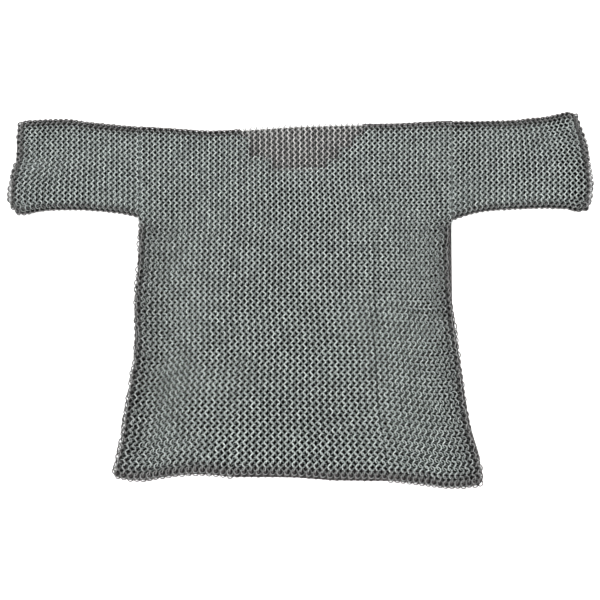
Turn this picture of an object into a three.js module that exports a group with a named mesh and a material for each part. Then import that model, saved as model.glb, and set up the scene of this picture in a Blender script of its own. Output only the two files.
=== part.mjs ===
// A short-sleeved mail shirt laid flat on its back: a front and a back panel and two tubular
// sleeves of linked steel rings, each modelled as a wall as thick as one layer of the mail.
// Millimetres. +X runs across the shirt, +Y towards the neck, +Z up; it rests on z = 0.
import * as THREE from "three";

// Driving dimensions
const WALL = 6.6; // thickness of one layer of mail
const GAP = 0.3; // clearance between the layers and at every seam
const HEIGHT = 2 * WALL + GAP; // two layers lying on each other
const FOLD_RADIUS = HEIGHT / 2; // outer radius where one layer turns into the other
const LIP = 0.8; // thickness left where a layer thins to nothing at a fold
const ARMHOLE_X = [-296, 280]; // seams between the body and the sleeves
const HEM_X = [-347, 337]; // lower corners of the body
const HEM_Y = -333; // level of the hem, used to place the side curves
const SHOULDER_Y = 322; // level of the shoulders, used to place the side curves
const FRONT_HEM_RISE = 5; // the front ends this much above the longer back
const ARMPIT_Y = 150; // the sides are folds below this and seams above it

// Outlines, each a smooth line through a few points [along, across]
const SIDE_LEFT = [[-333, -347], [-300, -341], [-265, -331], [-207, -323], [-163, -317],
  [-125, -309], [-80, -305], [-15, -306], [74, -300], [112, -299], [134, -296], [322, -296]];
const SIDE_RIGHT = [[-333, 337], [-305, 339], [-281, 332], [-245, 322], [-210, 311],
  [-163, 304], [-125, 299], [-80, 292], [-40, 286], [0, 280], [74, 276], [108, 276],
  [130, 280], [322, 280]];
const HEM = [[-347, -328], [-305, -336], [-275, -335], [-245, -328], [-177, -324],
  [-132, -329], [0, -331], [60, -336], [170, -337], [240, -345], [290, -350], [337, -343]];
const SHOULDER_LINE = [[-296, 321], [-245, 318], [-155, 313], [-112, 316], [0, 323],
  [110, 326], [180, 327], [245, 331], [280, 332]];
// The front neckline steps down by whole rows of rings: [x where it starts, level].
const NECK_STEPS = [[-113, 303], [-97, 265], [-53, 243], [51, 264], [72, 282], [96, 302], [118, 0]];
const STEP_RUN = 2; // each step turns within this distance

const RIGHT_SLEEVE = {
  name: "sleeve_right",
  cuff: -530,
  seam: ARMHOLE_X[0] - GAP,
  top: [[-530, 327], [-520, 331], [-505, 333], [-444, 335], [-376, 328], [-332, 324], [-296, 321]],
  bottom: [[-530, 156], [-518, 153], [-505, 157], [-465, 163], [-421, 165], [-376, 163],
    [-330, 158], [-296, 151]],
  bow: [[0, 4], [0.04, -7], [0.14, -13], [0.3, -11], [0.5, -2], [0.65, 7], [0.9, 6], [1, 8]],
};
const LEFT_SLEEVE = {
  name: "sleeve_left",
  cuff: 530,
  seam: ARMHOLE_X[1] + GAP,
  top: [[280, 332], [385, 333], [430, 337], [470, 341], [500, 348], [515, 350], [530, 343]],
  bottom: [[280, 146], [300, 152], [340, 162], [385, 166], [445, 168], [490, 166], [514, 161],
    [530, 163]],
  bow: [[0, 4], [0.08, 11], [0.3, 13], [0.5, 9], [0.72, 1], [0.9, -10], [1, -16]],
};

// Where the upper layer curls up off the lower one: [x, y, reach, rise]
const CURLS = [
  [505, 330, 26, 4.5],
  [-520, 178, 24, 3.5],
  [-330, -306, 34, 3],
  [318, -325, 34, 3.5],
];

// Numbers of divisions
const PANEL_COLUMNS = 22;
const PANEL_ROWS = 18;
const SLEEVE_COLUMNS = 12;
const SLEEVE_ROWS = 10;
const FOLD_STEPS = 4;

const STEEL = { color: 0x6f7673, roughness: 0.42, metalness: 0.85 };
const SHADED_STEEL = { color: 0x837e7c, roughness: 0.5, metalness: 0.85 };

const { lerp, clamp, smoothstep } = THREE.MathUtils;

// A smooth function through points [x, value] that never swings past them.
function smooth(points) {
  const last = points.length - 1;
  const rise = (i) => (points[i + 1][1] - points[i][1]) / (points[i + 1][0] - points[i][0]);
  const slope = (i) => {
    const before = rise(Math.max(i - 1, 0));
    const after = rise(Math.min(i, last - 1));
    return before * after > 0 ? (2 * before * after) / (before + after) : 0;
  };
  return (x) => {
    const at = clamp(x, points[0][0], points[last][0]);
    const k = points.findLastIndex((p, i) => i < last && p[0] <= at);
    const run = points[k + 1][0] - points[k][0];
    const s = (at - points[k][0]) / run;
    const start = slope(k) - rise(k);
    const end = slope(k + 1) - rise(k);
    const straight = lerp(points[k][1], points[k + 1][1], s);
    return straight + run * s * (1 - s) * ((1 - s) * start - s * end);
  };
}

// How far the upper layer stands off the lower one at a place.
function curl(x, y) {
  const rises = CURLS.map(([cx, cy, reach, rise]) => {
    const far = Math.hypot(x - cx, y - cy) / reach;
    return rise * (1 - smoothstep(far, 0, 1));
  });
  return Math.max(...rises);
}

// The height that a layer's outer face loses at a distance from a folded edge.
function foldDrop(distance) {
  const inside = FOLD_RADIUS - clamp(distance, 0, FOLD_RADIUS);
  const drop = FOLD_RADIUS - Math.sqrt(FOLD_RADIUS ** 2 - inside ** 2);
  return Math.min(drop, WALL - LIP);
}

// A closed mesh from its points and its four-sided faces, each seen from outside.
function closedMesh(name, points, quads, look) {
  const indices = quads.flatMap(([a, b, c, d]) => [a, b, c, a, c, d]);
  const geometry = new THREE.BufferGeometry().setFromPoints(points);
  geometry.setIndex(indices);
  geometry.computeVertexNormals();
  const mesh = new THREE.Mesh(geometry, new THREE.MeshStandardMaterial(look));
  mesh.name = name;
  return mesh;
}

// Even steps from 0 to 1, with extra ones that follow the rounding at both ends.
function stations(count, length) {
  const ends = [1.2, FOLD_RADIUS].map((d) => d / length);
  const even = Array.from({ length: count - 1 }, (_, i) => (i + 1) / count);
  return [0, ...ends, ...even, ...ends.map((e) => 1 - e).reverse(), 1];
}

// A panel: a wall between an upper and a lower face over the same net of places.
function panel(name, columns, rows, place, lower, upper, look) {
  const net = columns.flatMap((s) => rows.map((t) => place(s, t)));
  const faceOf = (height) => net.map(([x, y]) => new THREE.Vector3(x, y, height(x, y)));
  const points = [...faceOf(lower), ...faceOf(upper)];
  const n = rows.length;
  const lift = net.length;
  const id = (i, j) => i * n + j;
  const quads = [];
  for (let i = 0; i + 1 < columns.length; i++) {
    for (let j = 0; j + 1 < n; j++) {
      const square = [id(i, j), id(i + 1, j), id(i + 1, j + 1), id(i, j + 1)];
      quads.push(square.map((p) => p + lift));
      quads.push([...square].reverse());
    }
  }
  const rim = [];
  for (let i = 0; i + 1 < columns.length; i++) rim.push(id(i, 0));
  for (let j = 0; j + 1 < n; j++) rim.push(id(columns.length - 1, j));
  for (let i = columns.length - 1; i > 0; i--) rim.push(id(i, n - 1));
  for (let j = n - 1; j > 0; j--) rim.push(id(0, j));
  rim.forEach((p, k) => {
    const q = rim[(k + 1) % rim.length];
    quads.push([p, q, q + lift, p + lift]);
  });
  return closedMesh(name, points, quads, look);
}

const sideLeft = smooth(SIDE_LEFT);
const sideRight = smooth(SIDE_RIGHT);
const hem = smooth(HEM);
const shoulderLine = smooth(SHOULDER_LINE);

// The front's upper edge: the shoulder line, cut down in steps at the neck.
function frontTop(x) {
  const levels = [shoulderLine(x), ...NECK_STEPS.map((step) => step[1] || shoulderLine(x))];
  return NECK_STEPS.reduce((level, [start], i) => {
    const turned = smoothstep(x, start, start + STEP_RUN);
    return lerp(level, levels[i + 1], turned);
  }, levels[0]);
}

// Places on the body: s from side to side, t from the hem to an upper edge.
function bodyPlace(hemRise, top) {
  return (s, t) => {
    const foot = hem(lerp(HEM_X[0], HEM_X[1], s)) + hemRise;
    const head = top(lerp(ARMHOLE_X[0], ARMHOLE_X[1], s));
    const level = lerp(HEM_Y, SHOULDER_Y, t);
    return [lerp(sideLeft(level), sideRight(level), s), lerp(foot, head, t)];
  };
}

// What the body's folded sides and shoulders take off a layer's outer face.
function bodyDrop(x, y) {
  const toSide = Math.min(x - sideLeft(y), sideRight(y) - x);
  const seam = smoothstep(y, ARMPIT_Y - 20, ARMPIT_Y + 10);
  const toShoulder = shoulderLine(x) - y;
  return Math.max(foldDrop(toSide) * (1 - seam), foldDrop(toShoulder));
}

const bodyWidth = HEM_X[1] - HEM_X[0];
const bodyLength = SHOULDER_Y - HEM_Y;
const armholeWidth = ARMHOLE_X[1] - ARMHOLE_X[0];
const neckColumns = NECK_STEPS.flatMap(([start]) => [start, start + STEP_RUN])
  .map((x) => (x - ARMHOLE_X[0]) / armholeWidth);
const evenColumns = stations(PANEL_COLUMNS, bodyWidth);
const clearOfNeck = (s) => neckColumns.every((n) => Math.abs(n - s) > 0.006);
const frontColumns = [...evenColumns.filter(clearOfNeck), ...neckColumns].sort((a, b) => a - b);
const bodyRows = stations(PANEL_ROWS, bodyLength);

function frontPanel() {
  const lower = (x, y) => WALL + GAP + curl(x, y);
  const upper = (x, y) => HEIGHT + curl(x, y) - bodyDrop(x, y);
  const place = bodyPlace(FRONT_HEM_RISE, frontTop);
  return panel("front_panel", frontColumns, bodyRows, place, lower, upper, STEEL);
}

function backPanel() {
  const lower = (x, y) => bodyDrop(x, y);
  const upper = () => WALL;
  const place = bodyPlace(0, shoulderLine);
  return panel("back_panel", evenColumns, bodyRows, place, lower, upper, SHADED_STEEL);
}

// The section of a flattened tube: [share of the flat width, radial direction], all round.
function tubeSection() {
  const section = [];
  for (let j = 0; j < SLEEVE_ROWS; j++) section.push([j / SLEEVE_ROWS, -Math.PI / 2]);
  for (let k = 0; k < FOLD_STEPS; k++) section.push([1, Math.PI * (k / FOLD_STEPS - 0.5)]);
  for (let j = SLEEVE_ROWS; j > 0; j--) section.push([j / SLEEVE_ROWS, Math.PI / 2]);
  for (let k = 0; k < FOLD_STEPS; k++) section.push([0, Math.PI * (k / FOLD_STEPS + 0.5)]);
  return section;
}

// A sleeve: a tube lying flat, open at the cuff and at the armhole.
function sleeve({ name, cuff, seam, top, bottom, bow }) {
  const [upperEdge, lowerEdge, cuffBow] = [smooth(top), smooth(bottom), smooth(bow)];
  const section = tubeSection();
  const west = Math.min(cuff, seam);
  const east = Math.max(cuff, seam);
  const skin = (radius) => {
    const points = [];
    for (let i = 0; i <= SLEEVE_COLUMNS; i++) {
      const level = lerp(west, east, i / SLEEVE_COLUMNS);
      const toCuff = Math.abs(level - seam) / Math.abs(cuff - seam);
      const from = lowerEdge(level) + FOLD_RADIUS;
      const to = upperEdge(level) - FOLD_RADIUS;
      for (const [share, turn] of section) {
        const x = level + cuffBow(share) * toCuff ** 2;
        const y = lerp(from, to, share) + radius * Math.cos(turn);
        const lift = turn === Math.PI / 2 ? curl(x, y) : 0;
        points.push(new THREE.Vector3(x, y, FOLD_RADIUS + radius * Math.sin(turn) + lift));
      }
    }
    return points;
  };
  const outer = skin(FOLD_RADIUS);
  const points = [...outer, ...skin(GAP / 2)];
  const n = section.length;
  const inward = outer.length;
  const quads = [];
  for (let k = 0; k < n; k++) {
    const next = (k + 1) % n;
    for (let i = 0; i < SLEEVE_COLUMNS; i++) {
      const square = [i * n + k, i * n + next, (i + 1) * n + next, (i + 1) * n + k];
      quads.push(square);
      quads.push([...square].reverse().map((p) => p + inward));
    }
    const end = SLEEVE_COLUMNS * n;
    quads.push([k + inward, next + inward, next, k]);
    quads.push([k + end, next + end, next + end + inward, k + end + inward]);
  }
  return closedMesh(name, points, quads, STEEL);
}

const shirt = new THREE.Group();
shirt.add(frontPanel(), backPanel(), sleeve(RIGHT_SLEEVE), sleeve(LEFT_SLEEVE));
export default shirt;
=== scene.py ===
"""Mail shirt laid flat on a pale floor, with every ring modelled.

The rings follow a four in one weave, in rows that run from the hem to the shoulders and round the
sleeves. Each row leans the other way from the one beside it. Rings are placed by rule and not by
contact, so some cut slightly into their neighbours.
"""

import math
import random

import bpy
from mathutils import Euler, Matrix, Vector, noise
from mathutils.bvhtree import BVHTree


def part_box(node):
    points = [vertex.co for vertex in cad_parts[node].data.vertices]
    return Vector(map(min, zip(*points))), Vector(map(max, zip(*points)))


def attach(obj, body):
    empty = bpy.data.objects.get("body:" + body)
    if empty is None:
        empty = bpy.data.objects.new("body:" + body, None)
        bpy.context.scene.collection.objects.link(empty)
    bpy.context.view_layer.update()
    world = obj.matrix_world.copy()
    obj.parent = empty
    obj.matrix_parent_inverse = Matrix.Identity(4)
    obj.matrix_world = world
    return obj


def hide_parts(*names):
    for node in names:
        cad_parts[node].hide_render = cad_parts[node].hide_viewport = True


bl_info = {
    "name": "Mail Shirt",
    "version": (1, 0, 0),
    "blender": (4, 5, 0),
    "location": "3D View > Sidebar > Mail Shirt",
    "description": "Weaves a short-sleeved shirt of linked steel rings, laid flat",
    "category": "Object",
}

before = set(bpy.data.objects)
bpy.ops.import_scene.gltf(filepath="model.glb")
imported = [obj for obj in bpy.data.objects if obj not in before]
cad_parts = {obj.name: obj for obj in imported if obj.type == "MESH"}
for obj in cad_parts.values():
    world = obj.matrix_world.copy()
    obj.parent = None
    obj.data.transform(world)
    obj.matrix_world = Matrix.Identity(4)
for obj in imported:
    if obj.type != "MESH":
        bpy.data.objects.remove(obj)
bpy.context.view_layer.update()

BODY_NODES = ("front_panel", "back_panel")
CARD_LEVEL = 0.0001
FAR = 2.0  # metres: outside the shirt on any side
SKIN = 0.0004  # how far inside a solid's top its outline is read
NECK_COVER = 0.014  # how far down from the neckline the back panel still shows
NECK_LIFT = 0.0025  # how far the free neck edge reaches past the solid
HEM_MARGIN = 0.024  # level above the lowest point of the hem at which every side edge exists
TOP_MARGIN = 0.018  # level below the highest point of the shoulders, likewise
ARMHOLE_BOTTOM = (0.125, 0.150)  # over these levels the side folds give way to the armholes


def node_box(name):
    """The lowest and highest corners of one of the frame's solids."""
    low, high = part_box(name)
    return Vector(low), Vector(high)


BACK_LOW, BACK_HIGH = node_box("back_panel")
FRONT_LOW, FRONT_HIGH = node_box("front_panel")
LAYER = BACK_HIGH.z  # thickness of one layer of mail
FOLD = (BACK_HIGH.z + FRONT_LOW.z) / 2  # outer radius of a fold, and the height of its middle
CORE = FOLD - LAYER / 2  # radius at which the rings' centres go round a fold
FRONT_HEM_RISE = FRONT_LOW.y - BACK_LOW.y
NECK_SINK = 0.0030  # how far the front's neck edge sinks onto the back panel
COVER_SHADE = 0.8  # painted shade: how dark the rings are made where the upper layer covers them
CUFF_LEVEL = 0.530  # half the reach from cuff to cuff, apart from the cuffs' bends
CREASES = (  # soft troughs in the upper layer: the line they follow, half width, depth
    (((0.287, -0.027), (0.250, -0.021), (0.205, -0.023)), 0.007, 0.0030),
    (((0.141, 0.130), (0.137, -0.020), (0.140, -0.180), (0.165, -0.260), (0.240, -0.330)),
     0.009, 0.0016),
    (((-0.278, -0.050), (-0.240, -0.190), (-0.185, -0.318)), 0.010, 0.0016),
    (((-0.400, 0.290), (-0.300, 0.232), (-0.235, 0.160), (-0.225, 0.100)), 0.009, 0.0016),
    (((0.225, 0.265), (0.255, 0.200), (0.272, 0.130)), 0.009, 0.0016),
    (((-0.130, 0.110), (-0.020, 0.092), (0.060, 0.095)), 0.010, 0.0012),
)
DARK_CORNERS = (  # where the cloth is bunched and painted shade darkens it: place, reach, how much
    ((-0.347, -0.330), 0.085, 1.0),
    ((0.337, -0.343), 0.095, 1.0),
    ((-0.530, 0.155), 0.050, 1.0),
    ((-0.530, 0.330), 0.045, 0.8),
    ((0.530, 0.345), 0.060, 1.0),
    ((0.530, 0.165), 0.045, 0.8),
)
CARD_SPANS = {  # from where to where along X the card lies under each part
    "back_panel": (-0.3425, 0.3325),
    "sleeve_right": (-0.534, -0.2965),
    "sleeve_left": (0.2805, 0.534),
}
CUFF_CORNERS = {"sleeve_right": (0.156, 0.327), "sleeve_left": (0.163, 0.343)}


# ---------------------------------------------------------------------------------------------
# Sizes, colours and light that a user would change


class MailRings(bpy.types.PropertyGroup):
    inner_diameter: bpy.props.FloatProperty(
        name="Inner diameter", description="Clear width inside a ring",
        default=0.0093, min=0.004, unit="LENGTH")
    wire: bpy.props.FloatProperty(
        name="Wire", description="Thickness of the wire that the rings are made of",
        default=0.0022, min=0.0005, unit="LENGTH")
    lean: bpy.props.FloatProperty(
        name="Lean", description="How far a row's rings lean to the side out of the cloth",
        default=math.radians(27), subtype="ANGLE")
    around: bpy.props.IntProperty(
        name="Segments", description="Straight pieces that make up a ring", default=10, min=6)
    wire_sides: bpy.props.IntProperty(
        name="Wire sides", description="Flat sides of the wire", default=4, min=3)


class MailWeave(bpy.types.PropertyGroup):
    body_rows: bpy.props.IntProperty(
        name="Body rows", description="Rows side by side across one panel", default=112, min=8)
    body_rings: bpy.props.IntProperty(
        name="Body rings", description="Rings in a row from hem to shoulder", default=54, min=8)
    right_sleeve_rows: bpy.props.IntProperty(
        name="Right sleeve rows", description="Rows from the seam to the cuff", default=46, min=4)
    left_sleeve_rows: bpy.props.IntProperty(
        name="Left sleeve rows", description="Rows from the seam to the cuff", default=50, min=4)
    sleeve_rings: bpy.props.IntProperty(
        name="Sleeve rings", description="Rings in a row round a sleeve", default=32, min=8)
    open_row_gap: bpy.props.FloatProperty(
        name="Open row spacing", description="Distance between rows of mail pulled out evenly",
        default=0.0060, unit="LENGTH")
    open_ring_gap: bpy.props.FloatProperty(
        name="Open ring spacing", description="Distance between a row's rings, pulled out evenly",
        default=0.0136, unit="LENGTH")
    looseness: bpy.props.FloatProperty(
        name="Looseness", description="How far rings lie out of their exact place",
        default=0.0002, unit="LENGTH")
    sway: bpy.props.FloatProperty(
        name="Sway", description="How far whole stretches of the weave drift",
        default=0.0012, unit="LENGTH")


class MailFinish(bpy.types.PropertyGroup):
    steel: bpy.props.FloatVectorProperty(
        name="Steel", description="Colour of the oiled steel wire",
        default=(0.36, 0.385, 0.375), size=3, subtype="COLOR")
    shaded_steel: bpy.props.FloatVectorProperty(
        name="Inside steel", description="Colour of the back panel's wire, which is browner",
        default=(0.365, 0.363, 0.357), size=3, subtype="COLOR")
    # Painted shade: the colour that the wire is darkened towards along the folds and edges, in the
    # bunched corners and under the upper layer.
    painted_shade_steel: bpy.props.FloatVectorProperty(
        name="Painted shade steel", description="Colour of the dirty wire in the folds",
        default=(0.085, 0.074, 0.075), size=3, subtype="COLOR")
    roughness: bpy.props.FloatProperty(
        name="Roughness", description="Roughness of the clean wire", default=0.40, subtype="FACTOR")


class MailStage(bpy.types.PropertyGroup):
    floor_colour: bpy.props.FloatVectorProperty(
        name="Floor", description="Colour of the floor", default=(0.86, 0.86, 0.86), size=3,
        subtype="COLOR")
    # Painted shade: the dark card under the shirt stands in for the shade on the floor seen through
    # the rings.
    painted_shade_colour: bpy.props.FloatVectorProperty(
        name="Shade card", description="Colour of the card that lies under the shirt",
        default=(0.07, 0.07, 0.07), size=3, subtype="COLOR")
    card_inset: bpy.props.FloatProperty(
        name="Card inset", description="How far inside the shirt's outline the card ends",
        default=0.0022, unit="LENGTH")
    view_width: bpy.props.FloatProperty(
        name="View width", description="Width of floor that the picture takes in",
        default=1.110, unit="LENGTH")
    camera_height: bpy.props.FloatProperty(
        name="Camera height", description="Height of the camera over the floor",
        default=4.0, unit="LENGTH")
    key_power: bpy.props.FloatProperty(
        name="Key light", description="Power of the softbox overhead, in watts", default=12.0)
    walls: bpy.props.FloatProperty(
        name="Walls", description="Strength of the light from the lit walls all round", default=3.0)
    ceiling: bpy.props.FloatProperty(
        name="Ceiling", description="How bright the ceiling is beside the walls", default=0.2,
        subtype="FACTOR")


def settings():
    return bpy.context.scene.mail_shirt


class MailShirt(bpy.types.PropertyGroup):
    rings: bpy.props.PointerProperty(type=MailRings)
    weave: bpy.props.PointerProperty(type=MailWeave)
    finish: bpy.props.PointerProperty(type=MailFinish)
    stage: bpy.props.PointerProperty(type=MailStage)


# ---------------------------------------------------------------------------------------------
# Where the cloth lies, measured on the frame's solids


def lerp(a, b, share):
    return a + (b - a) * share


def smoothstep(x, low, high):
    share = min(max((x - low) / (high - low), 0.0), 1.0)
    return share * share * (3.0 - 2.0 * share)


class Outline:
    """The edges of a solid at one height, found by looking at it from its sides."""

    def __init__(self, node, height):
        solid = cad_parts[node].data
        corners = [vertex.co for vertex in solid.vertices]
        self.tree = BVHTree.FromPolygons(corners, [tuple(face.vertices) for face in solid.polygons])
        self.height = height
        self.known = {}

    def seen(self, x, y, direction):
        key = (round(x, 5), round(y, 5), direction)
        if key not in self.known:
            hit = self.tree.ray_cast(Vector((x, y, self.height)), Vector(direction))[0]
            if hit is None:
                raise RuntimeError(f"nothing of the solid lies beyond {key}")
            self.known[key] = hit
        return self.known[key]

    def west(self, y):
        return self.seen(-FAR, y, (1.0, 0.0, 0.0)).x

    def east(self, y):
        return self.seen(FAR, y, (-1.0, 0.0, 0.0)).x

    def south(self, x):
        return self.seen(x, -FAR, (0.0, 1.0, 0.0)).y

    def north(self, x):
        return self.seen(x, FAR, (0.0, -1.0, 0.0)).y

    def rise(self, x, y):
        """How far the upper layer curls up off the lower one at a place."""
        hit = self.tree.ray_cast(Vector((x, y, FAR)), Vector((0.0, 0.0, -1.0)))[0]
        return max(hit.z - 2 * FOLD, 0.0) if hit else 0.0


def round_fold(along):
    """Inset from the fold's edge, height over its middle, and turn, at a distance along the cloth."""
    quarter = CORE * math.pi / 2
    if along >= quarter:
        return FOLD + along - quarter, CORE, 0.0
    turn = math.pi / 2 - max(along, 0.0) / CORE
    return FOLD - CORE * math.sin(turn), CORE * math.cos(turn), turn


def near(distance, reach):
    """1 at no distance, falling softly to 0 at the reach."""
    return max(1.0 - distance / reach, 0.0) ** 2


def rim(distance, reach):
    """1 along an edge, kept up for a third of the reach before it falls to 0."""
    return 1.0 - smoothstep(distance, 0.3 * reach, reach)


def ring_size(y):
    """How big the rings are at a place: they get smaller from the hem to the shoulders."""
    return 0.99 - 0.40 * y


def corner_shade(x, y):
    """How bunched the cloth is from being near one of its loose corners, which also sets how much
    painted shade darkens it there.
    """
    return max(share * near(math.dist((x, y), spot), reach) for spot, reach, share in DARK_CORNERS)


def crease_dip(x, y):
    """How deep the creases sink the upper layer at a place."""
    dip = 0.0
    spot = Vector((x, y))
    for line, width, depth in CREASES:
        for start, end in zip(line, line[1:]):
            start, end = Vector(start), Vector(end)
            along = (spot - start).dot(end - start) / (end - start).length_squared
            closest = start + (end - start) * min(max(along, 0.0), 1.0)
            dip = max(dip, depth * math.exp(-((spot - closest).length / width) ** 2))
    return dip


def crease_slope(x, y):
    """The way the upper layer faces where a crease tips it."""
    step = 0.001
    east = crease_dip(x + step, y) - crease_dip(x - step, y)
    north = crease_dip(x, y + step) - crease_dip(x, y - step)
    return Vector((east / (2 * step), north / (2 * step), 1.0)).normalized()


# ---------------------------------------------------------------------------------------------
# Rings


def deselect_all():
    for ob in bpy.context.selected_objects:
        ob.select_set(False)


def model_ring(around, wire_sides):
    """One ring of round wire, lying flat at the origin."""
    rings = settings().rings
    deselect_all()
    bpy.ops.mesh.primitive_torus_add(
        align="WORLD", location=(0, 0, 0), rotation=(0, 0, 0),
        major_segments=around, minor_segments=wire_sides, mode="MAJOR_MINOR",
        major_radius=(rings.inner_diameter + rings.wire) / 2, minor_radius=rings.wire / 2,
        generate_uvs=True)
    ring = bpy.context.object
    ring.name = "one_ring"
    bpy.ops.object.shade_smooth()
    return ring


def shingle(gap):
    """How far rings at this spacing in a row tip up, so that each lies on the next."""
    rings = settings().rings
    across = rings.inner_diameter + rings.wire
    lift = rings.wire ** 2 - (gap - across) ** 2
    return math.asin(math.sqrt(max(lift, 0.0)) / across)


def ring_turn(across, along, out, lean, tip, spin):
    """The turn of a ring that leans about its row and tips over the next ring in it."""
    cloth = Matrix((across, along, out)).transposed()
    own = (
        Matrix.Rotation(lean, 3, "Y")
        @ Matrix.Rotation(tip, 3, "X")
        @ Matrix.Rotation(spin, 3, "Z")
    )
    return (cloth @ own).to_euler()


def rest(centre, turn, size):
    """Lifts a ring that would reach below the floor."""
    rings = settings().rings
    steep = math.sqrt(max(1.0 - turn.to_matrix().col[2].z ** 2, 0.0))
    lowest = (rings.inner_diameter + rings.wire) / 2 * steep + rings.wire / 2
    centre.z = max(centre.z, lowest * size)
    return centre


def weave_nodes(ring):
    """A node group that puts the ring at every point, at its own turn, and makes one mesh."""
    group = bpy.data.node_groups.new("link_rings", "GeometryNodeTree")
    group.interface.new_socket("Geometry", in_out="INPUT", socket_type="NodeSocketGeometry")
    group.interface.new_socket("Geometry", in_out="OUTPUT", socket_type="NodeSocketGeometry")
    new = group.nodes.new
    link = group.links.new

    def attribute(name, kind):
        node = new("GeometryNodeInputNamedAttribute")
        node.data_type = kind
        node.inputs["Name"].default_value = name
        return node.outputs["Attribute"]

    source = new("NodeGroupInput")
    pattern = new("GeometryNodeObjectInfo")
    pattern.inputs["Object"].default_value = ring
    size = new("ShaderNodeCombineXYZ")
    for side in "XYZ":
        link(attribute("size", "FLOAT"), size.inputs[side])
    turn = new("FunctionNodeEulerToRotation")
    link(attribute("turn", "FLOAT_VECTOR"), turn.inputs["Euler"])
    place = new("GeometryNodeInstanceOnPoints")
    link(source.outputs["Geometry"], place.inputs["Points"])
    link(pattern.outputs["Geometry"], place.inputs["Instance"])
    link(turn.outputs["Rotation"], place.inputs["Rotation"])
    link(size.outputs["Vector"], place.inputs["Scale"])
    make = new("GeometryNodeRealizeInstances")
    link(place.outputs["Instances"], make.inputs["Geometry"])

    # Each ring has its own cell of the map, so that its colour can be kept in a picture.
    fitted = new("ShaderNodeVectorMath")
    fitted.operation = "MULTIPLY"
    link(attribute("UVMap", "FLOAT_VECTOR"), fitted.inputs[0])
    link(attribute("cell_size", "FLOAT_VECTOR"), fitted.inputs[1])
    corner = new("ShaderNodeVectorMath")
    corner.operation = "ADD"
    link(fitted.outputs["Vector"], corner.inputs[0])
    link(attribute("cell", "FLOAT_VECTOR"), corner.inputs[1])
    store = new("GeometryNodeStoreNamedAttribute")
    store.data_type = "FLOAT2"
    store.domain = "CORNER"
    store.inputs["Name"].default_value = "OFBake"
    link(make.outputs["Geometry"], store.inputs["Geometry"])
    link(corner.outputs["Vector"], store.inputs["Value"])
    out = new("NodeGroupOutput")
    link(store.outputs["Geometry"], out.inputs["Geometry"])
    return group


def link_rings(name, places, ring):
    """Makes one mesh of rings, one at each place (centre, turn, size, tone, painted shade)."""
    columns = math.ceil(math.sqrt(len(places)))
    cell = 1.0 / columns
    carrier = bpy.data.meshes.new(name)
    carrier.from_pydata([place[0] for place in places], [], [])
    for attribute in ("turn", "cell", "cell_size"):
        carrier.attributes.new(attribute, "FLOAT_VECTOR", "POINT")
    for attribute in ("size", "tone", "painted_shade"):
        carrier.attributes.new(attribute, "FLOAT", "POINT")
    for i, (_, turn, size, tone, painted_shade) in enumerate(places):
        carrier.attributes["size"].data[i].value = size
        carrier.attributes["painted_shade"].data[i].value = painted_shade
        carrier.attributes["turn"].data[i].vector = turn
        carrier.attributes["tone"].data[i].value = tone
        corner = ((i % columns + 0.08) * cell, (i // columns + 0.08) * cell, 0)
        carrier.attributes["cell"].data[i].vector = corner
        carrier.attributes["cell_size"].data[i].vector = (0.84 * cell, 0.84 * cell, 0)
    piece = bpy.data.objects.new(name, carrier)
    bpy.context.collection.objects.link(piece)
    deselect_all()
    piece.select_set(True)
    bpy.context.view_layer.objects.active = piece
    weave = piece.modifiers.new("Link rings", "NODES")
    weave.node_group = weave_nodes(ring)
    bpy.ops.object.modifier_apply(modifier=weave.name)
    for spare in ("turn", "size", "cell", "cell_size"):
        if spare in piece.data.attributes:
            piece.data.attributes.remove(piece.data.attributes[spare])
    return piece


# ---------------------------------------------------------------------------------------------
# The body's rows


def drift(x, y, layer, reach):
    """A slow wander of the weave, the same at every run."""
    spot = Vector((x / reach, y / reach, layer * 7.3))
    return Vector((noise.noise(spot), noise.noise(spot + Vector((31.4, 0, 0))), 0.0))


def row_share(u, level):
    """Where a row lies across a panel: below the chest the rows crowd together at both sides."""
    crowd = 1.0 - 0.7 * smoothstep(level, 0.060, 0.240)
    return u - crowd * (0.0143 * math.sin(2 * math.pi * u) - 0.0159 * math.sin(math.pi * u))


def ring_share(v):
    """Where a ring lies up its row: the weave is drawn out by its weight towards the hem."""
    return v + 0.16 * v * (1.0 - v)


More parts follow.
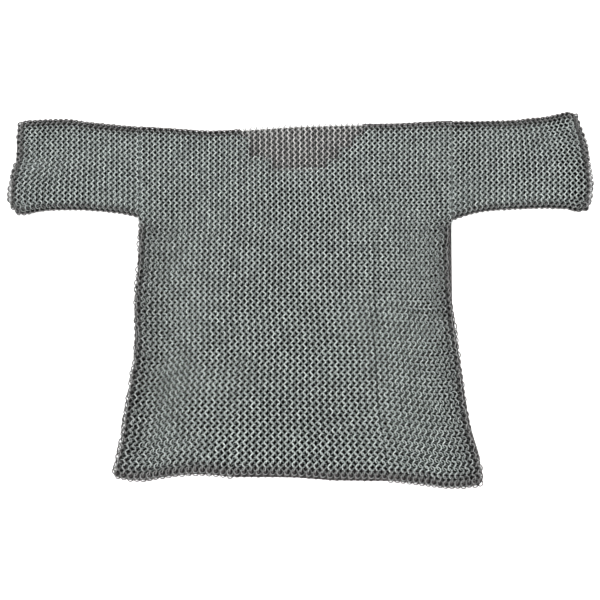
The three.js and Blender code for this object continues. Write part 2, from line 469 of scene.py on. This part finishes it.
def body_places(layer):
    """Row, centre, turn, size, tone and painted shade of each ring of a panel; layer 1 is the front.
    """
    kit = settings()
    back = Outline("back_panel", LAYER - SKIN)
    front = Outline("front_panel", FRONT_LOW.z + LAYER / 2)
    dice = random.Random(11 + layer)
    hem_level, top_level = BACK_LOW.y + HEM_MARGIN, BACK_HIGH.y - TOP_MARGIN
    reach = (kit.rings.inner_diameter / 2 + kit.rings.wire) * math.cos(kit.rings.lean)
    middle = [i * 0.001 for i in range(-160, 161)]
    neck = [x for x in middle if front.north(x) < back.north(x) - 0.010]
    neck_west, neck_east = min(neck), max(neck)
    rows, count = kit.weave.body_rows, kit.weave.body_rings
    places = []
    for i in range(rows):
        u = (i + 0.5) / rows
        for j in range(count):
            v = (j + (0.0 if i % 2 else 0.5)) / (count - 0.5)
            climb = ring_share(v)
            level = lerp(hem_level, top_level, climb)
            share = row_share(u, level)
            west, east = back.west(level), back.east(level)
            cloth_width = east - west - 2 * FOLD + math.pi * CORE
            along = share * cloth_width
            from_west = along < cloth_width / 2
            inset, height, roll = round_fold(along if from_west else cloth_width - along)
            x = west + inset if from_west else east - inset
            side = -1.0 if from_west else 1.0
            seam = smoothstep(level, *ARMHOLE_BOTTOM)
            x = lerp(x, lerp(west, east, share), seam)
            foot_x = lerp(back.west(hem_level), back.east(hem_level), row_share(u, hem_level))
            head_x = lerp(back.west(top_level), back.east(top_level), row_share(u, top_level))
            foot = back.south(min(max(foot_x, BACK_LOW.x + 0.004), BACK_HIGH.x - 0.004))
            foot += reach + (FRONT_HEM_RISE if layer else 0.0)
            head = back.north(head_x)
            free = neck_west < head_x < neck_east
            size = ring_size(level)
            neck_reach = reach * ring_size(head)
            cloth_height = head - foot - (neck_reach if free else FOLD - math.pi / 2 * CORE)
            to_top = (1.0 - climb) * cloth_height
            if free:
                y, top_height, pitch = head + NECK_LIFT - neck_reach - to_top, CORE, 0.0
            else:
                top_inset, top_height, pitch = round_fold(to_top)
                y = head - top_inset
            height = lerp(min(height, top_height), top_height, seam)
            roll *= 1.0 - seam
            neckline = front.north(min(max(x, -0.29), 0.27))
            if layer and y > neckline - neck_reach + 0.001 and free:
                continue
            to_side = min(x - west, east - x)
            flank = (1.0 - seam) * near(to_side, 0.09)
            bunched = corner_shade(x, y)
            flank = max(flank, bunched)
            sway = drift(x, y, layer, 0.07) * kit.weave.sway * (1.0 + flank)
            loose = kit.weave.looseness * (1.0 + 3.0 * flank)
            nudge = Vector((dice.gauss(0, loose), dice.gauss(0, loose), dice.gauss(0, loose * 0.5)))
            z = FOLD + height if layer else FOLD - height
            if layer:
                z += front.rise(x, y) - crease_dip(x, y)
                z -= NECK_SINK * near(neckline - y, 0.030) if free else 0.0
            centre = Vector((x, y, z)) + sway + nudge
            upward = 1.0 if layer else -1.0
            level_out = upward * math.cos(roll) * math.cos(pitch)
            out = Vector((side * math.sin(roll), math.sin(pitch), level_out)).normalized()
            if layer and abs(out.z) > 0.9:
                out = crease_slope(x, y)
            fan = (head_x - foot_x) / (head - foot)
            run = Vector((fan, 1.0, 0.0))
            run = (run - out * run.dot(out)).normalized()
            across = run.cross(out)
            lean = kit.rings.lean * (1 if i % 2 else -1) * (1.0 - 0.6 * abs(math.sin(roll)))
            lean += dice.gauss(0, 0.03 * (1 + 4 * flank))
            gap = cloth_height / count * (1.0 + 0.16 * (1.0 - 2.0 * v))
            tip = shingle(gap / size) * upward + dice.gauss(0, 0.02 * (1 + 4 * flank))
            turn = ring_turn(across, run, out, lean, tip, dice.uniform(0, math.tau))
            # Painted shade: the wire is darkened along the side folds, in the bunched corners, along
            # the shoulder fold and the hem, and under the front panel.
            dim = (1.0 - seam) * max(0.65 * rim(to_side, 0.024), 0.4 * near(to_side, 0.110))
            dim = max(dim, bunched, 0.0 if free else 0.75 * rim(to_top, 0.016))
            dim = max(dim, 0.6 * rim(y - foot, 0.016))
            # Painted shade on the back panel's rings that the front panel covers.
            if not layer and not (free and y > neckline - NECK_COVER):
                dim = max(dim, COVER_SHADE)
            places.append((i, rest(centre, turn, size), turn, size, dice.random(), dim))
    return places


# ---------------------------------------------------------------------------------------------
# The sleeves' rows


def sleeve_places(node, seam_side):
    """The rings of a flattened tube, in rows round the arm; seam_side is 1 if the seam is east."""
    kit = settings()
    edge = Outline(node, FOLD)
    lower = Outline(node, LAYER / 2)
    low, high = node_box(node)
    dice = random.Random(23 + seam_side)
    seam = high.x if seam_side > 0 else low.x
    cuff = -seam_side * CUFF_LEVEL
    corner_south, corner_north = CUFF_CORNERS[node]
    reach = (kit.rings.inner_diameter / 2 + kit.rings.wire) * math.cos(kit.rings.lean)

    def bend(y):
        inside = min(max(y, corner_south + 0.003), corner_north - 0.003)
        return (lower.west(inside) if seam_side > 0 else lower.east(inside)) - cuff

    bend_south, bend_north = bend(corner_south), bend(corner_north)
    rows = kit.weave.right_sleeve_rows if seam_side > 0 else kit.weave.left_sleeve_rows
    span = (abs(cuff - seam) - reach) / abs(cuff - seam)
    places = []
    for i in range(rows):
        u = (i + 0.5) / (rows - 0.5) * span
        level = lerp(seam, cuff, u)
        south = edge.south(level + bend_south * u * u)
        north = edge.north(level + bend_north * u * u)
        flat = north - south - 2 * FOLD
        loop = 2 * flat + 2 * math.pi * CORE
        count = kit.weave.sleeve_rings
        for j in range(count):
            along = (j + (0.5 if i % 2 else 0.0)) / count * loop
            half = loop / 2
            upper = along < half
            step = along if upper else loop - along
            if step < half / 2:
                inset, height, roll = round_fold(step)
                y, side = south + inset, -1.0
            else:
                inset, height, roll = round_fold(half - step)
                y, side = north - inset, 1.0
            x = level + bend(y) * u * u
            upward = 1.0 if upper else -1.0
            bunched = corner_shade(x, y)
            end = max(smoothstep(u, 0.75, 1.0), bunched)
            sway = drift(x, y, 2 + upper, 0.06) * kit.weave.sway * (1.0 + end)
            loose = kit.weave.looseness * (1.0 + end)
            nudge = Vector((dice.gauss(0, loose), dice.gauss(0, loose), dice.gauss(0, loose * 0.5)))
            z = FOLD + upward * height
            if upper:
                z += edge.rise(x, y) - crease_dip(x, y)
            centre = Vector((x, y, z)) + sway + nudge
            out = Vector((0.0, side * math.sin(roll), upward * math.cos(roll))).normalized()
            run = Vector((0.0, 1.0, 0.0)) if abs(out.z) > 0.3 else Vector((0.0, 0.0, -side * upward))
            run = (run - out * run.dot(out)).normalized()
            across = run.cross(out)
            size = ring_size(y)
            lean = kit.rings.lean * (1 if i % 2 else -1) * -seam_side
            lean *= 1.0 - 0.6 * abs(math.sin(roll))
            lean += dice.gauss(0, 0.03 * (1 + 3 * end))
            tip = shingle(loop / count / size) * upward + dice.gauss(0, 0.02 * (1 + 3 * end))
            turn = ring_turn(across, run, out, lean, tip, dice.uniform(0, math.tau))
            # Painted shade: the wire is darkened along both folds, at the cuff, in the bunched
            # corners and on the lower layer.
            dim = max(0.75 * rim(y - south, 0.016), 0.75 * rim(north - y, 0.022), bunched)
            dim = max(dim, 0.7 * rim(abs(cuff - seam) * (1 - u), 0.024))
            # Painted shade on the lower layer, which the upper layer covers.
            dim = max(dim, 0.0 if upper else COVER_SHADE)
            places.append((rest(centre, turn, size), turn, size, dice.random(), dim))
    return places


# ---------------------------------------------------------------------------------------------
# Finishes


def steel(name, colour, roughness):
    """Oiled steel wire: each ring a little lighter or darker, dulled in patches, and darkened by
    painted shade where the rings are marked for it.
    """
    material = bpy.data.materials.new(name)
    material.use_nodes = True
    nodes, links = material.node_tree.nodes, material.node_tree.links
    shader = nodes["Principled BSDF"]
    shader.inputs["Metallic"].default_value = 1.0
    spot = nodes.new("ShaderNodeTexCoord")
    grime = nodes.new("ShaderNodeTexNoise")
    grime.inputs["Scale"].default_value = 55.0
    grime.inputs["Detail"].default_value = 3.0
    links.new(spot.outputs["Object"], grime.inputs["Vector"])
    tone = nodes.new("ShaderNodeAttribute")
    tone.attribute_name = "tone"
    both = nodes.new("ShaderNodeMath")
    both.operation = "ADD"
    links.new(grime.outputs["Fac"], both.inputs[0])
    links.new(tone.outputs["Fac"], both.inputs[1])
    shades = nodes.new("ShaderNodeValToRGB")
    shades.color_ramp.elements[0].position = 0.3
    shades.color_ramp.elements[0].color = (*[c * 0.84 for c in colour], 1.0)
    shades.color_ramp.elements[1].position = 0.8
    shades.color_ramp.elements[1].color = (*[min(c * 1.14, 1.0) for c in colour], 1.0)
    half = nodes.new("ShaderNodeMath")
    half.operation = "MULTIPLY"
    half.inputs[1].default_value = 0.5
    links.new(both.outputs["Value"], half.inputs[0])
    links.new(half.outputs["Value"], shades.inputs["Fac"])
    # Painted shade: each ring's colour is mixed towards the dark painted shade steel as far as its
    # painted shade attribute says.
    painted_shade = nodes.new("ShaderNodeAttribute")
    painted_shade.attribute_name = "painted_shade"
    shade_mix = nodes.new("ShaderNodeMix")
    shade_mix.data_type = "RGBA"
    shade_mix.inputs["B"].default_value = (*settings().finish.painted_shade_steel, 1.0)
    links.new(painted_shade.outputs["Fac"], shade_mix.inputs["Factor"])
    links.new(shades.outputs["Color"], shade_mix.inputs["A"])
    links.new(shade_mix.outputs["Result"], shader.inputs["Base Color"])
    dull = nodes.new("ShaderNodeMapRange")
    dull.inputs["To Min"].default_value = roughness - 0.02
    dull.inputs["To Max"].default_value = roughness + 0.10
    links.new(grime.outputs["Fac"], dull.inputs["Value"])
    links.new(dull.outputs["Result"], shader.inputs["Roughness"])
    return material


def finish_piece(piece, material, node):
    """Gives a piece its finish, hangs it under the root body and hides the frame's solid that it
    stands for.
    """
    piece.data.materials.clear()
    piece.data.materials.append(material)
    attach(piece, "root")
    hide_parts(node)


# ---------------------------------------------------------------------------------------------
# Operators


class MailOperator:
    bl_options = {"REGISTER", "UNDO"}


def strips(rows, parts):
    cuts = [round(rows * k / parts / 2) * 2 for k in range(parts + 1)]
    return list(zip(cuts, cuts[1:]))


def weave_panel(layer, parts, around, wire_sides):
    kit = settings()
    name = BODY_NODES[0] if layer else BODY_NODES[1]
    colour = kit.finish.steel if layer else kit.finish.shaded_steel
    material = steel(name + "_steel", colour, kit.finish.roughness)
    ring = model_ring(around, wire_sides)
    rings = body_places(layer)
    for k, span in enumerate(strips(kit.weave.body_rows, parts)):
        places = [tuple(rest) for row, *rest in rings if span[0] <= row < span[1]]
        piece = link_rings(f"{name}_rings_{k + 1}", places, ring)
        finish_piece(piece, material, name)
    bpy.data.objects.remove(ring)


class MAIL_OT_front(MailOperator, bpy.types.Operator):
    """Weave the front panel, down to its stepped neckline."""
    bl_idname = "mail.front"
    bl_label = "Weave Front Panel"

    def execute(self, context):
        kit = settings()
        weave_panel(1, 3, kit.rings.around, kit.rings.wire_sides)
        return {"FINISHED"}


class MAIL_OT_back(MailOperator, bpy.types.Operator):
    """Weave the back panel, which shows at the neck and below the hem."""
    bl_idname = "mail.back"
    bl_label = "Weave Back Panel"

    def execute(self, context):
        weave_panel(0, 2, 8, 3)
        return {"FINISHED"}


class MAIL_OT_sleeves(MailOperator, bpy.types.Operator):
    """Weave both sleeves, each a tube lying flat."""
    bl_idname = "mail.sleeves"
    bl_label = "Weave Sleeves"

    def execute(self, context):
        kit = settings()
        material = steel("sleeve_steel", kit.finish.steel, kit.finish.roughness)
        ring = model_ring(kit.rings.around - 1, kit.rings.wire_sides)
        for name, seam_side in (("sleeve_right", 1), ("sleeve_left", -1)):
            places = sleeve_places(name, seam_side)
            piece = link_rings(name + "_rings", places, ring)
            finish_piece(piece, material, name)
        bpy.data.objects.remove(ring)
        return {"FINISHED"}


def lay_shade_card(stage):
    """Lays dark card on the floor, only under the shirt, as painted shade: it darkens the floor seen
    through the rings, so that no light comes up through it.
    """
    black = bpy.data.materials.new("painted_shade_card")
    black.use_nodes = True
    black.node_tree.nodes["Principled BSDF"].inputs["Base Color"].default_value = (
        *stage.painted_shade_colour, 1.0)
    black.node_tree.nodes["Principled BSDF"].inputs["Roughness"].default_value = 1.0
    for name, (start, end) in CARD_SPANS.items():
        edge = Outline(name, LAYER / 2)
        columns = round((end - start) / 0.003)
        rim = []
        for i in range(columns + 1):
            x = lerp(start, end, i / columns)
            rim.append((x, edge.south(x) + stage.card_inset, CARD_LEVEL))
            rim.append((x, edge.north(x) - stage.card_inset, CARD_LEVEL))
        sheet = bpy.data.meshes.new("shade_card_" + name)
        strips_of_card = [(2 * i, 2 * i + 2, 2 * i + 3, 2 * i + 1) for i in range(columns)]
        sheet.from_pydata(rim, [], strips_of_card)
        sheet.materials.append(black)
        card = bpy.data.objects.new("shade_card_" + name, sheet)
        bpy.context.collection.objects.link(card)


def studio_world(stage):
    """Light from low, bright walls all round under a dimmer ceiling."""
    world = bpy.data.worlds.new("studio")
    world.use_nodes = True
    nodes, links = world.node_tree.nodes, world.node_tree.links
    way = nodes.new("ShaderNodeTexCoord")
    parts = nodes.new("ShaderNodeSeparateXYZ")
    links.new(way.outputs["Generated"], parts.inputs["Vector"])
    room = nodes.new("ShaderNodeValToRGB")
    dim = stage.ceiling
    shades = room.color_ramp.elements
    shades[0].position, shades[0].color = 0.0, (0.8, 0.8, 0.8, 1.0)
    shades[1].position, shades[1].color = 0.76, (dim, dim, dim, 1.0)
    for height, shade in ((0.15, 1.0), (0.60, 1.0)):
        shades.new(height).color = (shade, shade, shade, 1.0)
    links.new(parts.outputs["Z"], room.inputs["Fac"])
    links.new(room.outputs["Color"], nodes["Background"].inputs["Color"])
    nodes["Background"].inputs["Strength"].default_value = stage.walls
    return world


class MAIL_OT_stage(MailOperator, bpy.types.Operator):
    """Lay the floor and set the lights and the camera."""
    bl_idname = "mail.stage"
    bl_label = "Set Stage"

    def execute(self, context):
        stage = settings().stage
        deselect_all()
        bpy.ops.mesh.primitive_plane_add(size=8.0, location=(0, 0, 0))
        floor = context.object
        floor.name = "floor"
        paper = bpy.data.materials.new("paper")
        paper.use_nodes = True
        paper.node_tree.nodes["Principled BSDF"].inputs["Base Color"].default_value = (
            *stage.floor_colour, 1.0)
        paper.node_tree.nodes["Principled BSDF"].inputs["Roughness"].default_value = 0.9
        floor.data.materials.append(paper)
        lay_shade_card(stage)

        key = bpy.data.lights.new("overhead_softbox", "AREA")
        key.shape = "RECTANGLE"
        key.size, key.size_y = 2.6, 1.6
        key.energy = stage.key_power
        box = bpy.data.objects.new("overhead_softbox", key)
        box.location = (0.0, 1.2, 2.6)
        box.rotation_euler = (Vector((0, 0, 0)) - box.location).to_track_quat("-Z", "Y").to_euler()
        context.collection.objects.link(box)

        context.scene.world = studio_world(stage)

        lens = bpy.data.cameras.new("camera")
        lens.sensor_width = 36.0
        lens.lens = 36.0 * stage.camera_height / stage.view_width
        lens.clip_end = 50.0
        camera = bpy.data.objects.new("camera", lens)
        camera.location = (0.0, 0.0, stage.camera_height)
        context.collection.objects.link(camera)
        context.scene.camera = camera
        context.scene.view_settings.view_transform = "Standard"
        context.scene.view_settings.look = "High Contrast"
        return {"FINISHED"}


class MAIL_PT_panel(bpy.types.Panel):
    """Lists the steps that make the shirt."""
    bl_idname = "MAIL_PT_panel"
    bl_label = "Mail Shirt"
    bl_space_type = "VIEW_3D"
    bl_region_type = "UI"
    bl_category = "Mail Shirt"

    def draw(self, context):
        column = self.layout.column()
        for operator in OPERATORS:
            column.operator(operator.bl_idname)
        kit = context.scene.mail_shirt
        for group in (kit.rings, kit.weave, kit.finish, kit.stage):
            box = self.layout.box()
            for name in group.__annotations__:
                box.prop(group, name)


GROUPS = (MailRings, MailWeave, MailFinish, MailStage, MailShirt)
OPERATORS = (MAIL_OT_stage, MAIL_OT_back, MAIL_OT_front, MAIL_OT_sleeves)
CLASSES = (*GROUPS, *OPERATORS, MAIL_PT_panel)


def register():
    for cls in CLASSES:
        bpy.utils.register_class(cls)
    bpy.types.Scene.mail_shirt = bpy.props.PointerProperty(type=MailShirt)


def unregister():
    del bpy.types.Scene.mail_shirt
    for cls in reversed(CLASSES):
        bpy.utils.unregister_class(cls)


def main():
    register()
    bpy.ops.mail.stage()
    bpy.ops.mail.back()
    bpy.ops.mail.front()
    bpy.ops.mail.sleeves()


if __name__ == "__main__":
    main()
